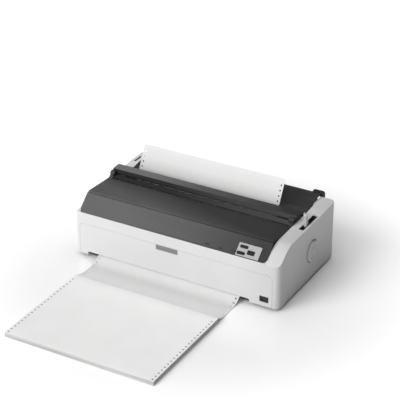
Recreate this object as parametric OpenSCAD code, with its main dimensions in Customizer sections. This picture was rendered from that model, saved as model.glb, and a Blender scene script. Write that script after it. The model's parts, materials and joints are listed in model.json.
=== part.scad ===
// Wide-carriage dot matrix printer with a front push tractor and fanfold paper.
// Frame: origin on the table, midway between the left and right feet and between the
// housing's front and rear faces, +X to the right, +Y to the rear, +Z up. Millimetres.

/* [Housing] */
// Width of the housing across its sides
body_w = 544; // [543:0.5:545]
// Depth of the housing from its front face to its rear face
body_d = 292; // [291:0.5:293]
// Height of the housing's underside above the table
floor_z = 8; // [7:0.5:8]
// Wall thickness of the housing
wall = 3; // [2.5:0.1:3.2]
// Radius of the housing's upright corners
corner_r = 14; // [12:0.5:14]
// Height of the flat top of the right shoulder
shoulder_z = 150; // [149:0.5:151]

/* [Covers] */
// Height of the lower edge of the sloping control panel
panel_z = 118.4; // [118:0.1:118.8]
// Slope of the control panel in degrees
panel_tilt = 41.5; // [41:0.1:42]
// Length of the control panel along its slope
panel_len = 50; // [49.7:0.1:50.3]
// Thickness of the cover plates
skin = 3; // [2.4:0.1:3]
// Top edge of the front cover above the table
front_cover_z = 89.8; // [88:0.1:89.8]
// Height of the flat top of the rear cover
rear_cover_z = 167; // [166:0.5:168]

/* [Paper] */
// Width of the fanfold form
paper_w = 381; // [378:0.1:381]
// Middle of the paper, measured from the middle of the feet
paper_x = -21.5; // [-21.5:0.1:-21]
// Thickness of the paper web
web_t = 0.3; // [0.2:0.05:0.3]
// Height at which the paper runs under the carriage
web_z = 31; // [31:0.1:31.2]
// Depth of one folded form
form_len = 279.4; // [270:0.1:280]
// Height of the folded pile in front
pile_h = 12; // [6:0.5:12]
// Length of the free paper above the print line
tail_len = 146; // [120:1:150]

/* [Print mechanism] */
// Radius of the platen roller
platen_r = 19; // [18.9:0.05:19]
// Platen axis behind the middle of the housing
platen_y = 22; // [22:0.1:22.2]
// Platen axis above the table
platen_z = 78; // [78:0.1:78.2]
// Radius of the platen knob
knob_r = 25.5; // [22:0.5:26]
// Radius of the carriage shaft
shaft_r = 5; // [4.5:0.1:5]
// Running clearance of every shaft in its hole
run = 0.05; // [0.03:0.01:0.08]
// Gear module
gear_m = 1; // [1:1:1]
// Teeth on the platen gear
gear_n = 48; // [48:1:48]
// Teeth on the motor pinion
pinion_n = 16; // [16:1:16]

/* [Hidden] */
$fn = 48;

hd = body_d / 2;
// left and right faces of the housing, and the left end of the panel and covers
xl = -4 - body_w / 2;
xr = -4 + body_w / 2;
cov = -262.6;
// outer face the platen knob would sit on if the side had no recess
kx = xr - 5;
// ledge left of the panel, and the ends of the front cover
ledge_z = panel_z - 2;
fl = -262.5;
fr = 251;
white = [0.90, 0.90, 0.90];
smoke = [0.20, 0.20, 0.22];
dark = [0.42, 0.42, 0.42];
black = [0.13, 0.13, 0.13];
steel = [0.66, 0.67, 0.69];
zinc = [0.74, 0.75, 0.74];

// ---- key positions, as [y, z] ----
plat = [platen_y, platen_z];
shaft_c = [-45, 56];
drive_c = [-88, 21.5];
guide_c = [-113.4, 21.5];
cover_hub = [0, 158];
front_hinge = [-hd + 1.7, 17];
lever_c = [48, 98];
sheet_c = [57, 146.5];
motor_a = 312.3;
motor_c = plat + gear_m * (gear_n + pinion_n) / 2 * [cos(motor_a), sin(motor_a)];
wrap_in = 205;
wrap_out = 151.4;
roll_c = plat + (platen_r + 7.7) * [cos(wrap_in), sin(wrap_in)];
rel_c = roll_c + 14 * [-cos(wrap_in - 90), -sin(wrap_in - 90)];
belt_y = -60;
belt_xl = -219;
belt_xr = 187;
car_x = paper_x;
pin_x = paper_x - (paper_w / 2 - 6.35);

// ---- helpers ----
module bx(x0, x1, y0, y1, z0, z1) translate([x0, y0, z0]) cube([x1 - x0, y1 - y0, z1 - z0]);
module cx(c, r, x0, x1) translate([x0, c[0], c[1]]) rotate([0, 90, 0]) cylinder(r = r, h = x1 - x0);
module cy(x, z, r, y0, y1) translate([x, y0, z]) rotate([-90, 0, 0]) cylinder(r = r, h = y1 - y0);
module cz(x, y, r, z0, z1) translate([x, y, z0]) cylinder(r = r, h = z1 - z0);
module yz(p, x0, x1) translate([x0, 0, 0]) rotate([90, 0, 90]) linear_extrude(height = x1 - x0) polygon(p);
module rr(x0, x1, y0, y1, r) {
  translate([x0 + r, y0]) square([x1 - x0 - 2 * r, y1 - y0]);
  translate([x0, y0 + r]) square([x1 - x0, y1 - y0 - 2 * r]);
  for (x = [x0 + r, x1 - r], y = [y0 + r, y1 - r]) translate([x, y]) circle(r = r);
}
function rev(p) = [for (i = [len(p) - 1:-1:0]) p[i]];
// A path moved sideways by t, to its left when t is positive
function offp(p, t) = [for (i = [0:len(p) - 1]) let (a = p[max(i - 1, 0)], b = p[min(i + 1, len(p) - 1)], d = b - a) p[i] + t * [-d[1], d[0]] / norm(d)];
function band(p, t0, t1) = concat(offp(p, t0), rev(offp(p, t1)));
function arc(c, r, a0, a1, n) = [for (i = [0:n]) c + r * [cos(a0 + (a1 - a0) * i / n), sin(a0 + (a1 - a0) * i / n)]];
// The outline of a belt round two circles
function loop2(c1, r1, c2, r2) = let (d = c2 - c1, L = norm(d), a = atan2(d[1], d[0]), g = acos((r1 - r2) / L))
  concat(arc(c1, r1, a + g, a + 360 - g, 24), arc(c2, r2, a - g, a + g, 24));
// A spur gear's outline with the middle of a tooth at angle t0
function gear_pts(n, t0) = [for (i = [0:n - 1], k = [0:3]) let (p = 360 / n,
  a = t0 + p * (i + [-0.27, -0.11, 0.11, 0.27][k]), r = gear_m * (n / 2 + [-1.2, 0.8, 0.8, -1.2][k])) r * [cos(a), sin(a)]];

// ---- side profiles, as [y, z] ----
pt = [cos(panel_tilt), sin(panel_tilt)];
ridge = [-hd, panel_z] + panel_len * pt;
// the white shoulders: flat top, then a rounded brow down to the front face
brow = [[-hd, panel_z - 3], [-136, 124], [-126.5, 131.2], [-117, 137.8], [-108, 143], [-98, 147], [-88, shoulder_z - 0.6], [-76, shoulder_z]];
rise = [[62, shoulder_z], [87, shoulder_z + 2.5], [hd, shoulder_z + 2.5]];
shoulder = concat(brow, rise);
// the left side wall stops under the dark covers and rises again at the rear
lip = [[-hd, panel_z - 0.9], [-hd + 0.4, panel_z - 0.1], [-hd + 0.9, panel_z + 0.2], [-hd + 2.9, panel_z - 2]];
left_top = concat(lip, [ridge + [2.2, -4.2], [-12, 146.2], [50, 146.2], [59, shoulder_z]], rise);
function under(p, z) = concat(p, [[p[len(p) - 1][0], z], [p[0][0], z]]);

module on_panel() translate([0, -hd, panel_z]) rotate([panel_tilt, 0, 0]) children();

module screw_at() for (x = [-246, 246], y = [-118, 128]) translate([x, y, 0]) children();

// ================= housing =================
module lower_case() color(white) difference() {
  union() {
    translate([0, 0, floor_z]) linear_extrude(3) rr(xl + 3, xr - 3, -hd + 3.6, hd - 3, corner_r - 3);
    // rim inside the upper case
    translate([0, 0, floor_z + 2]) linear_extrude(9) difference() {
      rr(xl + 3.4, xr - 3.4, -hd + 3.4, hd - 3.4, corner_r - 3.4);
      rr(xl + 5.4, xr - 5.4, -hd + 5.4, hd - 5.4, corner_r - 5.4);
    }
    // skirt flush with the outside
    translate([0, 0, floor_z]) linear_extrude(5.7) difference() {
      rr(xl + 0.4, xr - 0.4, -hd + 0.4, hd - 0.4, corner_r - 0.4);
      rr(xl + 3.4, xr - 3.4, -hd + 3.4, hd - 3.4, corner_r - 3.4);
    }
    screw_at() cylinder(r = 7, h = 17);
    // pedestal of the mains switch
    bx(222, 240, -132, -126, floor_z + 2, 19.6);
    for (x = [-200, 60, 150]) bx(x, x + 3, 20, 120, floor_z + 2, 11.4);
  }
  // room for the front cover's lower edge and for the paper
  bx(fl - 0.6, fr + 0.6, -hd - 1, -134, floor_z - 1, 30);
  bx(fl - 6.8, fr + 6.8, -hd - 1, -137.6, 13.7, 30);
  screw_at() { translate([0, 0, -1]) cylinder(r = 4.3, h = 14); cylinder(r = 2.2, h = 20); translate([0, 0, -1]) cylinder(r = 8, h = floor_z + 1); }
  for (x = [-225, 225], y = [-112, 118]) translate([x, y, floor_z - 1]) cylinder(r = 3.1, h = 3.6);
  // ventilation slots
  for (i = [0:9]) bx(-150 + 12 * i, -145 + 12 * i, 70, 120, floor_z - 1, floor_z + 4);
  for (i = [0:9]) bx(20 + 12 * i, 25 + 12 * i, 70, 120, floor_z - 1, floor_z + 4);
}

// outline of the upper half above the ledge: small corners at the left
module upper_plan(t) {
  rr(cov + t, 100, -hd + t, hd - t, 10 - t);
  rr(-100, xr - t, -hd + t, hd - t, corner_r - t);
}
// section of the wide left side with its rounded upper edge
function edge_profile(r) = concat([[0, 14], [r, 14]], [for (i = [0:6]) [r - 4 + 4 * cos(15 * i), ledge_z - 4 + 4 * sin(15 * i)]], [[0, ledge_z]]);
module left_block() difference() {
  intersection() {
    union() {
      for (y = [-hd + corner_r, hd - corner_r]) translate([xl + corner_r, y, 0]) rotate_extrude() polygon(edge_profile(corner_r));
      translate([xl + corner_r, hd - corner_r, 0]) rotate([90, 0, 0]) linear_extrude(2 * (hd - corner_r)) mirror([1, 0]) polygon(edge_profile(corner_r));
      translate([xl + corner_r, -hd + corner_r, 0]) rotate([90, 0, 90]) linear_extrude(12) mirror([1, 0]) polygon(edge_profile(corner_r));
      translate([xl + corner_r, hd - corner_r, 0]) rotate([90, 0, 90]) linear_extrude(12) polygon(edge_profile(corner_r));
    }
    bx(xl - 1, -252, -hd - 1, hd + 1, 10, 120);
  }
  translate([0, 0, 13]) linear_extrude(ledge_z - wall - 13) rr(xl + wall, xr, -hd + wall, hd - wall, corner_r - wall);
  bx(cov + wall, -240, -hd + 12, hd - 12, 13, 130);
}

module upper_case() color(white) difference() {
  union() {
    left_block();
    intersection() {
      translate([0, 0, 14]) linear_extrude(160) difference() {
        rr(xl, xr, -hd, hd, corner_r);
        rr(xl + wall, xr - wall, -hd + wall, hd - wall, corner_r - wall);
      }
      union() {
        yz(concat([[-hd, 14]], lip, [[-hd + 4, 14]]), -252.5, 232.5);
        yz([[hd - 5, 14], [hd - 5, 144], [hd, 144], [hd, 14]], -252.5, 232.5);
        yz(under(shoulder, 14), 232.5, xr);
      }
    }
    // left end under the covers
    intersection() {
      translate([0, 0, ledge_z - wall]) linear_extrude(60) difference() { upper_plan(0); upper_plan(wall); }
      union() {
        yz(under(left_top, ledge_z - wall), cov, cov + 10.2);
        yz(concat([[59, ledge_z - wall], [59, shoulder_z]], rise, [[hd, ledge_z - wall]]), cov, -240);
      }
    }
    intersection() {
      translate([0, 0, 14]) linear_extrude(160) upper_plan(0);
      union() {
        // right shoulder: top skin and inner walls
        yz(concat(shoulder, rev([for (p = shoulder) p - [-0.6, wall]])), 232.5, xr);
        yz(concat(brow, [[62, shoulder_z], [87, shoulder_z + 2.5], [93.5, shoulder_z + 2.5], [93.5, 132], [-100, 126], [-hd, 108]]), 232.5, 235);
        translate([0, 0, 132]) linear_extrude(shoulder_z + 2.5 - 132) polygon([[232.5, 93], [235, 93], [235, 94], [230.8, 108], [228.3, 107]]);
        bx(228.3, 230.8, 106.5, hd, 132, shoulder_z + 2.5);
        translate([0, 0, shoulder_z - 0.5]) linear_extrude(3) polygon([[232.5, 93], [236, 93], [236, hd], [228.3, hd], [228.3, 107]]);
        // left rear shoulder
        yz(concat([[59, shoulder_z - 3], [59, shoulder_z]], rise, [[hd, shoulder_z - 0.5], [87, shoulder_z - 0.5], [62, shoulder_z - 3]]), cov, -240);
        yz(concat([[59, 132], [59, shoulder_z]], rise, [[hd, 132]]), -242.5, -240);
        bx(cov, -240, 59, 61.5, 132, shoulder_z);
        // rear deck between the shoulders
        bx(-241, 229, 62, hd, 139, 142);
        bx(228, 233.5, 60, 95, 139, 142);
        bx(-241, 233.5, 62, 64.5, 130, 142);
        // ledge under the control panel
        yz([[-hd, panel_z - 8], [-hd, panel_z - 4.4], [-134, panel_z + 5.4], [-131, panel_z + 3]], cov, 56);
        yz([[-hd, panel_z - 8], [-hd, panel_z - 4.4], [-134, panel_z + 5.4], [-131, panel_z + 3]], 224, 234);
        // ears for the pins of the sheet guide
        for (x = [-242.5, 228]) yz([[52.5, 132], [52.5, 149], [54, 150.4], [61, 150.4], [61, 132]], x, x + 2.5);
        bx(228, 234, 59.5, 62.5, 132, 142);
        // recess of the platen knob
        cx(plat, 31.5, kx - 3, xr);
      }
    }
    // hinge blocks of the front cover
    intersection() {
      translate([0, 0, 14]) linear_extrude(12) rr(xl, xr, -hd, hd, corner_r);
      union() { bx(fl - 6.2, fl - 0.6, -hd, -hd + 8, 14, 25); bx(fr + 0.6, fr + 6.2, -hd, -hd + 8, 14, 25); }
    }
    screw_at() translate([0, 0, 17.2]) cylinder(r = 5, h = 22);
    for (y = [-118, 128]) { bx(xl + 2, -246, y - 1.2, y + 1.2, 19.4, 39); bx(246, xr - 2, y - 1.2, y + 1.2, 19.4, 39); }
  }
  // opening of the front cover
  translate([0, -hd + wall + 0.4, 0]) rotate([90, 0, 0]) linear_extrude(wall + 2) {
    translate([fl - 0.6, 0]) square([fr - fl + 1.2, 40]);
    rr(fl - 0.6, fr + 0.6, 10, front_cover_z + 0.5, 12.6);
  }
  cx(front_hinge, 1.2 + run, fl - 2.6, fr + 2.6);
  // release lever slot
  translate([0, 0, shoulder_z - 8]) linear_extrude(16) rr(250, 262.8, -17.7, 61.7, 3);
  // slot in the left shoulder
  translate([0, 0, shoulder_z - 8]) linear_extrude(16) rr(-255, -249.5, 89, 121, 1.5);
  // recess and shaft hole of the knob
  cx(plat, 28.5, kx, xr + 1);
  cx(plat, 9, kx - 8, kx + 1);
  // sheet guide pins
  cx(sheet_c, 2.5 + run, -245, 245);
  screw_at() cylinder(r = 1.95, h = 36);
  // rear connectors and vents
  bx(109.4, 140.6, hd - 5, hd + 1, 21.4, 48.6);
  bx(-131, -61, hd - 5, hd + 1, 20.2, 36.4);
  bx(-157, -141, hd - 5, hd + 1, 20.2, 33.6);
  for (i = [0:13]) bx(-20 + 9 * i, -15.5 + 9 * i, hd - 5, hd + 1, 62, 112);
  // vents low in the left side
  for (i = [0:9]) bx(xl - 1, xl + 4, 40 + 8 * i, 44 + 8 * i, 30, 62);
}

module cover_front_shape() difference() {
  union() {
    translate([fl, 8.4]) square([fr - fl, 40]);
    rr(fl, fr, 20, front_cover_z, 12);
  }
  // paper slot below, mains switch at the right
  rr(-242, 193.6, -10, 16.4, 3.5);
  translate([219.6, 19]) square([22.8, 14.9]);
}
module front_cover() color(white) {
  difference() {
    union() {
      translate([0, -hd + skin, 0]) rotate([90, 0, 0]) linear_extrude(skin) cover_front_shape();
      // stiffening ribs on the inside and two catches at the top
      for (x = [-200, -120, -40, 40, 120, 180]) bx(x, x + 1.6, -hd + skin - 0.5, -hd + skin + 3, 30, front_cover_z - 8);
      bx(-240, 205, -hd + skin - 0.5, -hd + skin + 2.4, 36, 37.6);
      for (x = [-180, 170]) {
        bx(x, x + 14, -hd + skin - 0.5, -hd + skin + 5, front_cover_z - 6, front_cover_z - 4);
      }
    }
  }
  cx(front_hinge, 1.2, fl - 2.3, fl + 0.5);
  cx(front_hinge, 1.2, fr - 0.5, fr + 2.3);
}

module label_plate() color([0.58, 0.58, 0.59])
  translate([0, -hd, 0]) rotate([90, 0, 0]) linear_extrude(0.8) rr(-51, 6.5, front_cover_z - 12.3, front_cover_z - 0.5, 0.8);

module control_panel() color(dark) intersection() {
  translate([0, 0, 100]) linear_extrude(70) rr(cov, 260, -hd, hd, 10);
  panel_shape();
}
module panel_shape() difference() {
  union() {
    on_panel() translate([0, 0, -skin]) linear_extrude(skin) {
      translate([-263, 1.6]) square([483.2, panel_len - 1.6]);
      translate([200, 13.6]) square([32.2, panel_len - 13.6]);
      translate([220.2, 13.6]) circle(r = 12);
    }
    // rolled top edge
    yz([ridge + [-0.5, -1.2], ridge + [0.35, 0.45], ridge + [2.6, 1], ridge + [3.3, -1.3], ridge + [1.2, -2.2]], -263, 232.2);
    // end wall standing above the right shoulder
    yz([[-134, 127.8], ridge + [-1.2, -1.9], ridge + [2.2, -0.6], ridge + [3.6, -10], [-124, 130]], 228.8, 231.6);
    // screw bosses underneath
    for (x = [-240, -80, 60]) on_panel() translate([x, 30, -skin - 8]) cylinder(r = 3.5, h = 8.2);
    for (x = [140, 216], s = [6, 44]) on_panel() translate([x, s, -skin - 6]) cylinder(r = 2.5, h = 6.2);
  }
  // recess of the button plate, button openings and lamp windows
  on_panel() translate([154.6, 2.6, -0.9]) cube([58, 31.8, 2]);
  on_panel() translate([0, 0, -skin - 1]) linear_extrude(skin + 3) {
    translate([159, 22]) square([20.8, 7.8]);
    translate([156.5, 6]) square([20.8, 7.8]);
    translate([181, 10]) square([18.8, 10.8]);
    for (p = [[80.4, 9], [115.1, 8.4], [148, 10.4]]) translate(p) { square([7.2, 4.2], center = true); for (s = [-1, 1]) translate([3.6 * s, 0]) circle(r = 2.1); }
  }
}

module button_plate() color([0.72, 0.72, 0.72]) on_panel() difference() {
  translate([0, 0, -0.9]) linear_extrude(1.4) rr(154.9, 212.3, 2.9, 34.1, 1.2);
  translate([0, 0, -3]) linear_extrude(8) {
    rr(159.2, 179.6, 22.2, 29.6, 3);
    rr(156.7, 177.1, 6.2, 13.6, 3);
    rr(181.2, 199.6, 10.2, 20.6, 1.6);
  }
}

// a rubber key pad with its stem and retaining flange
module key(x0, x1, y0, y1, r) color(black) on_panel() {
  translate([0, 0, -3.4]) linear_extrude(5.4) rr(x0, x1, y0, y1, r);
  translate([0, 0, -5]) linear_extrude(1.6) translate([x0 - 0.8, y0 - 0.8]) square([x1 - x0 + 1.6, y1 - y0 + 1.6]);
}
module button_upper() key(159.6, 179.2, 22.6, 29.2, 2.8);
module button_lower() key(157.1, 176.7, 6.6, 13.2, 2.8);
module button_right() key(181.6, 199.2, 10.6, 20.2, 1.4);

module lamp_lenses() color([0.25, 0.27, 0.26]) for (p = [[80.4, 9], [115.1, 8.4], [148, 10.4]]) on_panel() translate([p[0], p[1], -3.6])
  linear_extrude(3.3) { square([7, 3.8], center = true); for (s = [-1, 1]) translate([3.5 * s, 0]) circle(r = 1.9); }

module panel_board() color([0.16, 0.36, 0.24]) on_panel() {
  difference() {
    translate([66, 1, -10.6]) cube([152, 46, 1.6]);
    for (x = [140, 216], s = [6, 44]) translate([x, s, -12]) cylinder(r = 1.6, h = 4);
  }
  // tactile switches and lamps
  for (p = [[164.5, 25.9], [174.3, 25.9], [162, 9.9], [171.8, 9.9], [190.4, 15.4]]) translate([p[0] - 3, p[1] - 3, -9.1]) cube([6, 6, 1.9]);
  for (p = [[80.4, 9], [115.1, 8.4], [148, 10.4]]) translate([p[0] - 2, p[1] - 1.5, -9.1]) cube([4, 3, 4.6]);
}

// ================= covers =================
flap0 = [-103.9, 153.9];
flap1 = [-14.6, 150.3];
module printer_cover() color(smoke) {
  yz([flap0, flap0 + [3, 1.0], flap1, flap1 - [0.2, skin], flap0 + [3, -skin + 0.6], flap0 + [0.4, -4.2]], cov, 232);
  // arms with hub and pin at both ends
  for (s = [0, 1]) {
    x0 = s == 0 ? cov : 222.4;
    difference() {
      union() {
        yz([[-30, 150.9], [-14.6, 150.3], [-7, 155], [0, 151.2], [-6, 147.6], [-30, 147.9]], x0, x0 + 9.6);
        cx(cover_hub, 7, x0, x0 + 9.6);
      }
      cx(cover_hub, 2.6, s == 0 ? x0 - 1 : x0 + 6, s == 0 ? x0 + 3.6 : x0 + 11);
    }
    cx(cover_hub, 2.5, s == 0 ? x0 + 9 : x0 - 3.8, s == 0 ? x0 + 13.4 : x0 + 0.6);
  }
}

rear_top = [[-10.6, 149.6], [9.6, rear_cover_z], [33, rear_cover_z], [31, 152]];
module rear_cover() color(smoke) difference() {
  union() {
    yz([rear_top[0], rear_top[1] + [-1.6, -1.4], rear_top[1] + [0.6, 0], rear_top[2], rear_top[3], rear_top[3] + [-3, 0.4], rear_top[2] + [-4, -skin], rear_top[1] + [1.2, -skin], rear_top[0] + [1.6, -2.2]], cov, 232);
    // end cheeks
    for (x = [cov, 229.4]) yz([[-2, 150.4], [10.4, 160.4], [10.4, rear_cover_z - 1], [33, rear_cover_z - 1], [31.5, 150.4], [30, 146.4], [12, 146.4], [10, 150.4]], x, x + 2.6);
    // hub cheeks beside the notches
    for (x = [-252.6, 218.9]) { cx(cover_hub, 6.6, x, x + 3.1); yz([[0, 151.5], [7, 158], [11.4, 165], [24, 165], [24, 150.4], [-6, 150.4]], x, x + 3.1); }
    // ribs under the top
    for (x = [-150, -50, 50, 150]) yz([[5, 158], [11.4, 165], [29.5, 165], [29.5, 161], [13.4, 161]], x, x + 2);
  }
  // notches for the hubs of the printer cover
  cx(cover_hub, 7.6, cov - 1, -252.6);
  bx(cov - 1, -252.6, -14, 0, 145, 166);
  cx(cover_hub, 7.6, 222, 232.5);
  bx(222, 233, -14, 0, 145, 166);
  cx(cover_hub, 2.5 + run, -254, 224);
}

sheet_p = [sheet_c + [1, 1.6], [74, 152.2], [110, 156.0], [147.4, 160.2]];
module sheet_guide() color(black) difference() {
  union() {
    intersection() {
      yz(band(sheet_p, 0, -2.4), -240, 233);
      linear_extrude(200) polygon([[-239.5, 56], [-239.5, 150], [227.9, 150], [227.9, 107], [232, 92.6], [232, 64.2], [226, 64.2], [226, 56]]);
    }
    cx(sheet_c, 3.6, -236, 225);
    cx(sheet_c, 2.5, -242, 230);
    // turned-down rear edge
    bx(-236, 225, 145.2, 147.6, 153, 159.9);
    // shallow ribs on the upper face
    yz([[137, 158.5], [137.4, 159.9], [139, 160.1], [139.4, 158.8]], -230, 219);
    for (x = [-150, -90, -30, 30, 90, 150]) yz([[70, 151], [72, 152.8], [133, 159.2], [134, 158]], x, x + 1.6);
  }
}

// slides along the rear edge of the sheet guide
module edge_guide() color(black) {
  difference() {
    translate([0, 151.2, 0]) rotate([90, 0, 0]) linear_extrude(3.2) {
      translate([206.4, 151]) square([31, 9]);
      translate([212.4, 151]) square([19, 15]);
      for (x = [212.4, 231.4]) translate([x, 160]) circle(r = 6);
    }
    cy(222, 160, 3, 149.8, 152);
  }
  // saddle over the edge
  bx(208, 222, 143, 148.4, 160.5, 162.6);
}
module edge_guide_right() edge_guide();
module edge_guide_left() translate([-11, 0, 0]) mirror([1, 0, 0]) translate([0, 0, 0]) edge_guide();

// ================= levers and switch =================
module release_lever() color([0.80, 0.80, 0.80]) {
  difference() {
    union() {
      cx(lever_c, 8, 252.4, 259.4);
      yz([for (p = [[-6, -2], [-37, 40], [-43.5, 50], [-45, 74], [-44.6, 78.4], [-41.5, 80.6], [-38.4, 79.4], [-36.6, 74], [-33, 52], [-28, 42], [6, 3]]) lever_c + p], 252.4, 259.4);
    }
    cx(lever_c, 3 + run, 251, 261);
    // thumb hollow in the front face
    cx(lever_c + [-58, 69], 14, 250, 261);
  }
}

module release_frame() color(steel) {
  cx(rel_c, 2, -231.6, 206);
  cx(roll_c, 2, -224, 182);
  for (x = [-223, -146, -76, 30, 100, 178]) yz(band([rel_c, roll_c], -2.4, 2.4), x, x + 1.6);
}
module pinch_rollers() color([0.2, 0.2, 0.2]) for (x = [-196, -116, -36, 50, 130]) difference() {
  cx(roll_c, 6, x, x + 24);
  cx(roll_c, 2 + run, x - 1, x + 25);
}

module switch_housing() color(black) difference() {
  union() {
    bx(220.3, 241.7, -hd + 0.4, -125, 19.7, 33.2);
    bx(220.3, 241.7, -hd - 0.4, -hd + 1.5, 19.7, 33.2);
  }
  bx(222.6, 239.4, -hd - 1, -131, 20.8, 31.2);
  cz(231, -hd + 2.6, 1 + run, 19, 32.4);
}
// the rocker stands tipped to one side at rest
module power_rocker() color([0.06, 0.06, 0.06]) translate([231, -hd + 2.6, 26]) rotate([0, 0, 7]) {
  linear_extrude(9.6, center = true) polygon([[-7.4, -2.2], [0, -1.1], [7.4, -2.2], [7.4, 3], [3, 6], [-3, 6], [-7.4, 3]]);
  translate([0, 0, -6]) cylinder(r = 1, h = 12.1);
}

// ================= platen and feed =================
module platen() color([0.12, 0.12, 0.13]) difference() {
  cx(plat, platen_r, -220, 180);
  cx(plat, 6, -221, 181);
}
module platen_shaft() color(steel) difference() {
  union() {
    cx(plat, 5.98, -238, 252);
    cx(plat, 4.5, 252, 266);
  }
  translate([268, platen_y + 3.6, platen_z - 8]) translate([-12, 0, 0]) cube([14, 5, 16]);
}
module platen_gear() color([0.86, 0.86, 0.82]) difference() {
  union() {
    translate([210, platen_y, platen_z]) rotate([90, 0, 90]) linear_extrude(5) polygon(gear_pts(gear_n, motor_a));
    cx(plat, 9, 208, 224);
    cx(plat, 19.2, 215, 224);
    cx(plat, 21.4, 215.6, 217);
    cx(plat, 21.4, 223, 224);
  }
  cx(plat, 6, 207, 226);
  for (i = [0:5]) translate([0, platen_y, platen_z]) rotate([60 * i, 0, 0]) cx([13.8, 0], 2.6, 207, 226);
}
module platen_knob() color([0.84, 0.84, 0.84]) difference() {
  union() {
    translate([kx + 0.6, platen_y, platen_z]) rotate([90, 0, 90]) rotate_extrude($fn = 96) polygon([[0, 0], [knob_r - 1, 0], [knob_r, 1], [knob_r, 8.4], [knob_r - 1.6, 10], [knob_r - 4.5, 10], [knob_r - 6, 8.6], [13, 8.6], [12, 10], [0, 10]]);
    cx(plat, 8.4, kx - 9, kx + 1);
  }
  cx(plat, 4.52, kx - 10, kx + 3.4);
  for (i = [0:23]) translate([0, platen_y, platen_z]) rotate([15 * i, 0, 0]) cx([knob_r + 0.9, 0], 1.7, kx + 0.1, kx + 12);
}
module platen_bushes() color([0.86, 0.86, 0.82]) for (x = [-233.4, 202.6]) difference() {
  union() { cx(plat, 8.9, x, x + 4.8); cx(plat, 11, x < 0 ? x : x + 3.4 + 0.01, x < 0 ? x + 1.4 - 0.01 : x + 4.8); }
  cx(plat, 5.98 + run, x - 1, x + 6);
}
module feed_motor() color(zinc) difference() {
  union() {
    translate([226.2, motor_c[0], motor_c[1]]) rotate([90, 0, 90]) linear_extrude(2.4) rr(-16, 16, -16, 16, 4);
    cx(motor_c, 15.5, 228, 250);
    translate([249, motor_c[0], motor_c[1]]) rotate([90, 0, 90]) linear_extrude(2.4) rr(-16, 16, -16, 16, 4);
  }
  cx(motor_c, 2.5 + run, 226, 240);
}
module motor_pinion() color([0.80, 0.66, 0.35]) {
  difference() {
    union() {
      translate([209.8, motor_c[0], motor_c[1]]) rotate([90, 0, 90]) linear_extrude(5.4) polygon(gear_pts(pinion_n, motor_a + 180 + 180 / pinion_n));
      cx(motor_c, 4.2, 208, 217);
    }
    cx(motor_c, 2.5, 207, 218);
  }
  cx(motor_c, 2.5, 207.6, 238);
}
module tractor_belt() color([0.1, 0.1, 0.1]) difference() {
  yz(loop2(plat, 19.2 + 1.6, drive_c, 8 + 1.6), 217.4, 222.6);
  yz(loop2(plat, 19.2 + 0.45, drive_c, 8 + 0.45), 216, 224);
}
module tractor_drive_shaft() color(steel) {
  cx(drive_c, 3, -231.6, 225);
  for (k = [[215.6, 217, 10], [217, 223, 8], [223, 224, 10]]) difference() { cx(drive_c, k[2], k[0], k[1]); cx(drive_c, 2.9, k[0] - 1, k[1] + 1); }
}
module tractor_guide_shaft() color(steel) cx(guide_c, 3, -231.6, 205.6);

// one tractor: two cheeks, guide drum, pin belt, lid posts
module tractor() {
  color([0.22, 0.22, 0.23]) difference() {
    union() {
      yz(loop2(drive_c, 8.8, guide_c, 8.8), pin_x - 13.9, pin_x - 9);
      bx(pin_x - 13.9, pin_x - 9, -118, -84, 24, 31.4);
      yz(loop2(drive_c, 8.6, guide_c, 8.6), pin_x + 5.6, pin_x + 9.6);
      bx(pin_x - 9.5, pin_x + 6, -103, -98, 17.5, 25.5);
      cx(guide_c, 6.8, pin_x - 9.5, pin_x + 6);
      for (y = [-118, -87]) bx(pin_x - 13.9, pin_x - 9.8, y, y + 3, 30, 37);
    }
    cx(guide_c, 3 + run, pin_x - 15, pin_x + 11);
    cx(drive_c, 3 + run, pin_x - 15, pin_x + 11);
  }
  color(steel) cy(pin_x - 11.85, 34.6, 1.2, -117.5, -84.5);
  // pin belt
  color([0.15, 0.15, 0.16]) {
    difference() {
      yz(loop2(drive_c, 8.5, guide_c, 8.5), pin_x - 3, pin_x + 3);
      yz(loop2(drive_c, 7.4, guide_c, 7.2), pin_x - 4, pin_x + 4);
    }
    for (i = [0:2]) cz(pin_x, -113.4 + 12.7 * i, 1.8, 29.2, 30.5);
    for (i = [0:2]) cz(pin_x, -113.4 + 12.7 * i, 1.8, 12.6, 13.6);
  }
}
module tractor_lid() color([0.26, 0.26, 0.27]) difference() {
  union() {
    bx(pin_x - 8.2, pin_x + 9.6, -117.6, -84.4, 31.9, 33.9);
    bx(pin_x - 11.85, pin_x - 7, -113.6, -87.8, 32.4, 34.2);
    cy(pin_x - 11.85, 34.6, 2.3, -113.6, -87.8);
    bx(pin_x + 4, pin_x + 9.6, -108, -94, 33, 36);
  }
  cy(pin_x - 11.85, 34.6, 1.2 + run, -120, -80);
  bx(pin_x - 2.6, pin_x + 2.6, -118.5, -84, 31, 33);
}
module sprocket() color([0.85, 0.85, 0.80]) difference() {
  cx(drive_c, 6.9, pin_x - 4, pin_x + 4);
  cx(drive_c, 3 + run, pin_x - 6, pin_x + 6);
  for (i = [0:7]) translate([0, drive_c[0], drive_c[1]]) rotate([45 * i, 0, 0]) cx([7.2, 0], 0.9, pin_x - 5, pin_x + 5);
}
module flip() translate([2 * paper_x, 0, 0]) mirror([1, 0, 0]) children();
module tractor_left() tractor();
module tractor_right() flip() tractor();
module tractor_lid_left() tractor_lid();
module tractor_lid_right() flip() tractor_lid();
module sprocket_left() sprocket();
module sprocket_right() flip() sprocket();

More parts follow.
